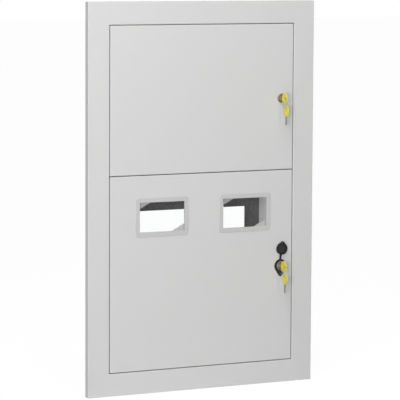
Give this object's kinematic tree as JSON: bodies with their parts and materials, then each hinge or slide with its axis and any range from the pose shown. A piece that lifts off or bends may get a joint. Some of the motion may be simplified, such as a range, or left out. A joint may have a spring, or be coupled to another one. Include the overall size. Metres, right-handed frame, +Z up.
{
  "type": "electric meter box",
  "caption": "Flush-mounted two-door steel box for electricity meters, with clear reading windows below, a blank door above and a keyed cam lock on each door.",
  "frame": {"origin": "on the wall plane at the back of the box, in the middle of the four wall fixings", "axes": "+Z up, along the face's height; +Y into the wall; +X to the right seen from the front"},
  "size_m": [0.65, 0.1929, 1],
  "materials": {
    "grey_paint": "fine textured powder coat",
    "zinc_steel": "bright zinc plate",
    "lock_chrome": "polished nickel",
    "plug_brass": "turned, dull",
    "black_rubber": "matt",
    "grey_foam": "closed-cell foam",
    "clear_pane": "clear polycarbonate sheet",
    "grey_bezel": "satin moulding",
    "white_nylon": "natural nylon",
    "yellow_plastic": "moulded"
  },
  "bodies": {
    "cabinet": {"trim_frame": "grey_paint", "back_panel": "zinc_steel", "left_side_panel": "grey_paint", "right_side_panel": "grey_paint", "top_panel": "grey_paint", "bottom_panel": "grey_paint", "divider_shelf": "grey_paint", "frame_rivets": "zinc_steel", "panel_rivets": "zinc_steel", "pivot_plate": "zinc_steel", "middle_pivot_pin": "zinc_steel", "end_pivot_pins": "zinc_steel", "top_grommets": "black_rubber", "bottom_grommets": "black_rubber", "upper_din_rail": "zinc_steel", "lower_din_rail": "zinc_steel", "rail_brackets": "zinc_steel", "rail_screws": "zinc_steel", "meter_bar": "zinc_steel", "meter_bar_screws": "zinc_steel", "earth_stud": "zinc_steel", "earth_washer": "zinc_steel", "earth_nut": "zinc_steel"},
    "upper_door": {"upper_door": "grey_paint", "upper_door_gasket": "grey_foam", "upper_door_bushes": "white_nylon", "upper_lock_body": "lock_chrome", "upper_lock_nut": "zinc_steel"},
    "lower_door": {"lower_door": "grey_paint", "lower_door_gasket": "grey_foam", "lower_door_bushes": "white_nylon", "left_window_bezel": "grey_bezel", "right_window_bezel": "grey_bezel", "left_window_pane": "clear_pane", "right_window_pane": "clear_pane", "left_pane_clips": "grey_paint", "right_pane_clips": "grey_paint", "pane_studs": "zinc_steel", "pane_nuts": "zinc_steel", "lower_lock_body": "lock_chrome", "lower_lock_nut": "zinc_steel", "lock_cover_base": "black_rubber"},
    "lock_cover_lid": {"lock_cover_lid": "black_rubber"},
    "upper_lock": {"upper_lock_plug": "plug_brass", "upper_lock_cam": "zinc_steel", "upper_cam_screw": "zinc_steel", "upper_key_head": "yellow_plastic", "upper_key_blade": "lock_chrome"},
    "upper_ring": {"upper_key_ring": "lock_chrome"},
    "upper_spare_key": {"upper_spare_key_head": "yellow_plastic", "upper_spare_key_blade": "lock_chrome"},
    "lower_lock": {"lower_lock_plug": "plug_brass", "lower_lock_cam": "zinc_steel", "lower_cam_screw": "zinc_steel", "lower_key_head": "yellow_plastic", "lower_key_blade": "lock_chrome"},
    "lower_ring": {"lower_key_ring": "lock_chrome"},
    "lower_spare_key": {"lower_spare_key_head": "yellow_plastic", "lower_spare_key_blade": "lock_chrome"}
  },
  "joints": [
    {"name": "upper_door_hinge", "type": "hinge", "parent": "cabinet", "child": "upper_door", "pos_m": [-0.2555, -0.1455, 0.2506], "axis": [0, 0, -1], "range_deg": [0, 110]},
    {"name": "lower_door_hinge", "type": "hinge", "parent": "cabinet", "child": "lower_door", "pos_m": [-0.2555, -0.1455, -0.1901], "axis": [0, 0, -1], "range_deg": [0, 110]},
    {"name": "upper_lock_turn", "type": "hinge", "parent": "upper_door", "child": "upper_lock", "pos_m": [0.2295, -0.1515, 0.247], "axis": [0, -1, 0], "range_deg": [0, 90]},
    {"name": "upper_ring_swing", "type": "hinge", "parent": "upper_lock", "child": "upper_ring", "pos_m": [0.2295, -0.1772, 0.24525], "axis": [1, 0, 0], "range_deg": [-90, 10]},
    {"name": "upper_spare_key_swing", "type": "hinge", "parent": "upper_ring", "child": "upper_spare_key", "pos_m": [0.2295, -0.1772, 0.22485], "axis": [1, 0, 0], "range_deg": [-60, 5]},
    {"name": "lower_lock_turn", "type": "hinge", "parent": "lower_door", "child": "lower_lock", "pos_m": [0.2295, -0.1515, -0.192], "axis": [0, -1, 0], "range_deg": [0, 90]},
    {"name": "lower_ring_swing", "type": "hinge", "parent": "lower_lock", "child": "lower_ring", "pos_m": [0.2295, -0.1787, -0.19375], "axis": [1, 0, 0], "range_deg": [-90, 10]},
    {"name": "lower_spare_key_swing", "type": "hinge", "parent": "lower_ring", "child": "lower_spare_key", "pos_m": [0.2295, -0.1787, -0.21415], "axis": [1, 0, 0], "range_deg": [-60, 5]},
    {"name": "lock_cover_flip", "type": "hinge", "parent": "lower_door", "child": "lock_cover_lid", "pos_m": [0.2295, -0.15245, -0.1695], "axis": [0.9903, 0, -0.1392], "range_deg": [0, 90]}
  ]
}
